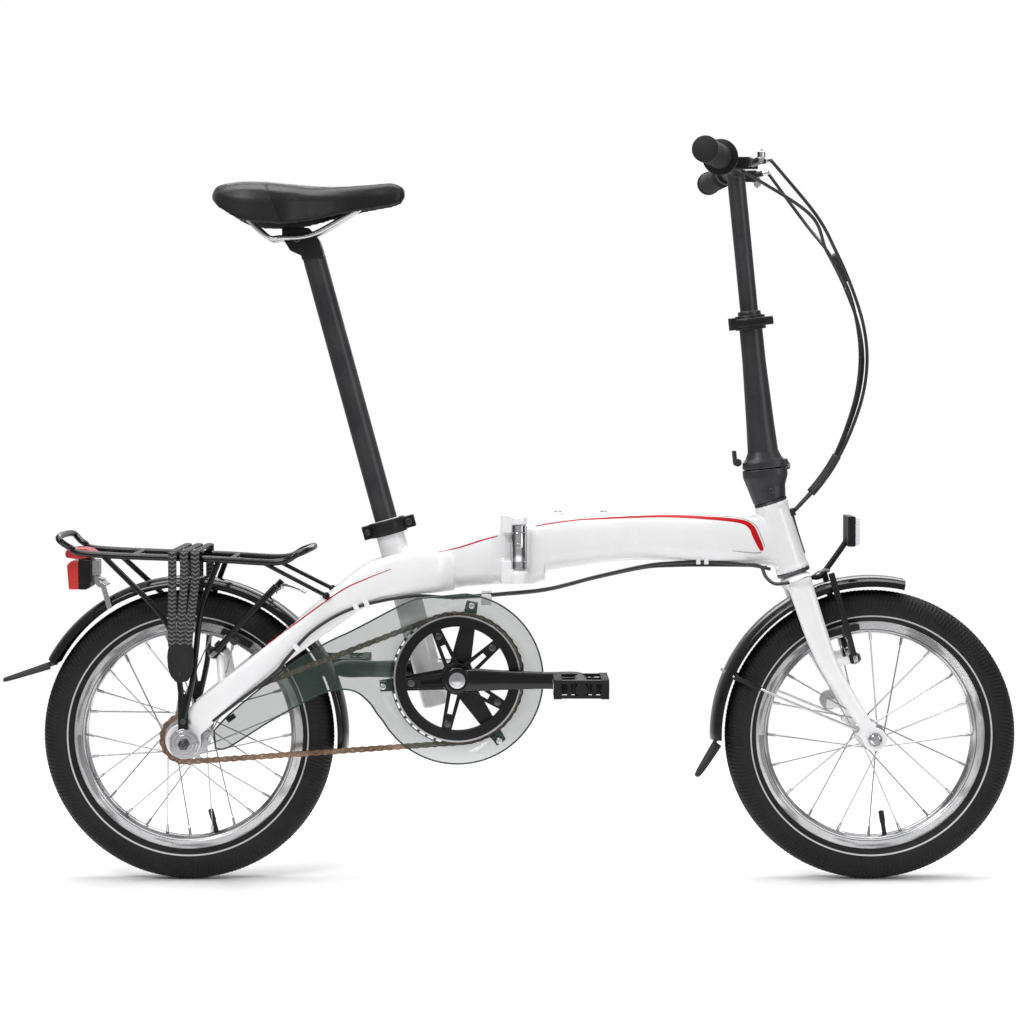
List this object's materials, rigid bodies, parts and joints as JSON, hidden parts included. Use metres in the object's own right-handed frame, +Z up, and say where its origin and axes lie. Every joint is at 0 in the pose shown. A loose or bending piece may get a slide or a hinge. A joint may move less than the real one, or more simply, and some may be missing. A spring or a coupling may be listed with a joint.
{
  "type": "folding bicycle",
  "caption": "Folding city bicycle with small wheels, hinged white frame, folding handlepost, telescopic seatpost, rear rack and enclosed chain.",
  "frame": {"origin": "on the ground, midway along the length, in the plane of the wheels", "axes": "+X to the front wheel, +Y to the rider's left, +Z up; the chain is on the -Y side"},
  "size_m": [1.4129, 0.5622, 1.0138],
  "materials": {
    "black_paint": "glossy black paint",
    "black_plastic": "moulded black plastic",
    "black_rubber": "black rubber",
    "chain_steel": "dull brown chain steel",
    "chrome": "polished chrome",
    "clear_lens": "clear prismatic lens",
    "clear_plastic": "tinted clear plastic",
    "graphite": "satin dark anodised",
    "red_lens": "red lens",
    "saddle_skin": "black grained cover",
    "silver": "bright metal",
    "tyre": "black tyre rubber with a reflecting line",
    "white_paint": "glossy white paint",
    "woven_strap": "woven elastic"
  },
  "bodies": {
    "rear_frame": {"bottom_bracket": "silver", "chain": "chain_steel", "chain_guard": "clear_plastic", "frame_cables": "black_rubber", "hinge_pin": "chrome", "rack": "black_paint", "rack_straps": "woven_strap", "rear_axle": "chrome", "rear_fender": "black_paint", "rear_frame": "white_paint", "rear_mudflap": "black_rubber", "seat_clamp": "black_plastic", "tail_light": "red_lens"},
    "crank": {"chainring": "silver", "chainring_spider": "black_paint", "crank_spindle": "silver", "left_crank": "black_paint", "right_crank": "black_paint"},
    "fork": {"control_cables": "black_rubber", "fork": "white_paint", "front_axle": "chrome", "front_fender": "black_paint", "front_mudflap": "black_rubber", "front_reflector": "clear_lens", "handlepost_base": "graphite"},
    "frame_latch": {"frame_latch_lever": "graphite"},
    "front_brake_left": {"front_brake_left": "black_plastic"},
    "front_brake_right": {"front_brake_right": "black_plastic"},
    "front_frame": {"front_frame": "white_paint", "headset": "black_plastic"},
    "front_wheel": {"front_hub": "silver", "front_rim": "silver", "front_spokes": "silver", "front_tyre": "tyre"},
    "bar": {"handlebar": "graphite", "left_grip": "black_rubber", "left_lever_mount": "black_plastic", "right_grip": "black_rubber", "right_lever_mount": "black_plastic"},
    "handlepost": {"handlepost": "graphite", "post_clamp": "black_plastic"},
    "post_latch": {"handlepost_latch": "graphite"},
    "left_lever": {"left_brake_lever": "silver"},
    "left_pedal": {"left_pedal": "black_plastic"},
    "post_lever": {"post_clamp_lever": "black_plastic"},
    "rear_brake_left": {"rear_brake_left": "black_plastic"},
    "rear_brake_right": {"rear_brake_right": "black_plastic"},
    "rear_wheel": {"rear_hub": "silver", "rear_rim": "silver", "rear_spokes": "silver", "rear_tyre": "tyre"},
    "sprocket": {"rear_sprocket": "silver"},
    "right_lever": {"right_brake_lever": "silver"},
    "right_pedal": {"right_pedal": "black_plastic"},
    "seatpost": {"saddle": "saddle_skin", "saddle_clamp": "black_plastic", "saddle_rails": "silver", "seatpost": "graphite"},
    "seat_lever": {"seat_clamp_lever": "black_plastic"},
    "shifter": {"twist_shifter": "black_plastic"}
  },
  "joints": [
    {"name": "frame_fold", "type": "hinge", "parent": "rear_frame", "child": "front_frame", "pos_m": [0.0138, -0.04, 0.4673], "axis": [0, 0, 1], "range_deg": [-165, 0], "deforming": ["frame_cables"]},
    {"name": "frame_latch_swing", "type": "hinge", "parent": "front_frame", "child": "frame_latch", "pos_m": [0.0338, 0.0395, 0.4673], "axis": [0, 0, 1], "range_deg": [0, 100]},
    {"name": "seat_clamp_release", "type": "hinge", "parent": "rear_frame", "child": "seat_lever", "pos_m": [-0.13897, 0.018, 0.50025], "axis": [0.2622, 0, -0.965], "range_deg": [0, 110]},
    {"name": "seatpost_slide", "type": "slide", "parent": "rear_frame", "child": "seatpost", "axis": [-0.2622, 0, 0.965], "range_m": [-0.29, 0.06]},
    {"name": "crank_spin", "type": "hinge", "parent": "rear_frame", "child": "crank", "pos_m": [-0.0705, 0, 0.286], "axis": [0, 1, 0], "continuous": true},
    {"name": "right_pedal_spin", "type": "hinge", "parent": "crank", "child": "right_pedal", "pos_m": [0.097, -0.0838, 0.286], "axis": [0, 1, 0], "continuous": true},
    {"name": "left_pedal_spin", "type": "hinge", "parent": "crank", "child": "left_pedal", "pos_m": [-0.238, 0.0838, 0.286], "axis": [0, 1, 0], "continuous": true},
    {"name": "sprocket_spin", "type": "hinge", "parent": "rear_frame", "child": "sprocket", "pos_m": [-0.4459, 0, 0.2025], "axis": [0, 1, 0], "continuous": true},
    {"name": "rear_wheel_spin", "type": "hinge", "parent": "rear_frame", "child": "rear_wheel", "pos_m": [-0.4459, 0, 0.2025], "axis": [0, 1, 0], "continuous": true},
    {"name": "rear_brake_right_squeeze", "type": "hinge", "parent": "rear_frame", "child": "rear_brake_right", "pos_m": [-0.4065, -0.04, 0.3209], "axis": [-0.7325, 0, 0.6807], "range_deg": [0, 2.5]},
    {"name": "rear_brake_left_squeeze", "type": "hinge", "parent": "rear_frame", "child": "rear_brake_left", "pos_m": [-0.4065, 0.04, 0.3209], "axis": [0.7325, 0, -0.6807], "range_deg": [0, 2.5]},
    {"name": "steering", "type": "hinge", "parent": "front_frame", "child": "fork", "pos_m": [0.396, 0, 0.43202], "axis": [-0.314, 0, 0.9494], "range_deg": [-45, 45], "deforming": ["control_cables"]},
    {"name": "front_wheel_spin", "type": "hinge", "parent": "fork", "child": "front_wheel", "pos_m": [0.5041, 0, 0.2025], "axis": [0, 1, 0], "continuous": true},
    {"name": "front_brake_right_squeeze", "type": "hinge", "parent": "fork", "child": "front_brake_right", "pos_m": [0.4771, -0.04, 0.3132], "axis": [-0.9622, 0, -0.2723], "range_deg": [0, 2.5]},
    {"name": "front_brake_left_squeeze", "type": "hinge", "parent": "fork", "child": "front_brake_left", "pos_m": [0.4771, 0.04, 0.3132], "axis": [0.9622, 0, 0.2723], "range_deg": [0, 2.5]},
    {"name": "handlepost_fold", "type": "hinge", "parent": "fork", "child": "handlepost", "pos_m": [0.38306, 0.02715, 0.57682], "axis": [0.7015, -0.709, 0.0725], "range_deg": [-160, 0], "deforming": ["control_cables"]},
    {"name": "handlepost_latch_lift", "type": "hinge", "parent": "handlepost", "child": "post_latch", "pos_m": [0.31788, 0, 0.58215], "axis": [0, -1, 0], "range_deg": [0, 80]},
    {"name": "post_clamp_release", "type": "hinge", "parent": "handlepost", "child": "post_lever", "pos_m": [0.31212, -0.0156, 0.77407], "axis": [0.1028, 0, -0.9947], "range_deg": [0, 110]},
    {"name": "bar_height_slide", "type": "slide", "parent": "handlepost", "child": "bar", "axis": [-0.1028, 0, 0.9947], "range_m": [-0.1, 0], "deforming": ["control_cables"]},
    {"name": "shifter_twist", "type": "hinge", "parent": "bar", "child": "shifter", "pos_m": [0.28258, -0.14695, 0.9903], "axis": [-0.2436, -0.9699, 0], "range_deg": [0, 60]},
    {"name": "right_lever_pull", "type": "hinge", "parent": "bar", "child": "right_lever", "pos_m": [0.32598, -0.12407, 0.9868], "axis": [0, 0, -1], "range_deg": [0, 20], "stiffness_Nm_per_rad": 0.5},
    {"name": "left_lever_pull", "type": "hinge", "parent": "bar", "child": "left_lever", "pos_m": [0.34691, 0.12003, 0.9868], "axis": [0, 0, 1], "range_deg": [0, 20], "stiffness_Nm_per_rad": 0.5}
  ],
  "couplings": [
    {"joint": "sprocket_spin", "follows": "crank_spin", "ratio": 2.75},
    {"joint": "rear_brake_right_squeeze", "follows": "right_lever_pull", "ratio": 0.125},
    {"joint": "rear_brake_left_squeeze", "follows": "right_lever_pull", "ratio": 0.125},
    {"joint": "front_brake_right_squeeze", "follows": "left_lever_pull", "ratio": 0.125},
    {"joint": "front_brake_left_squeeze", "follows": "left_lever_pull", "ratio": 0.125}
  ]
}
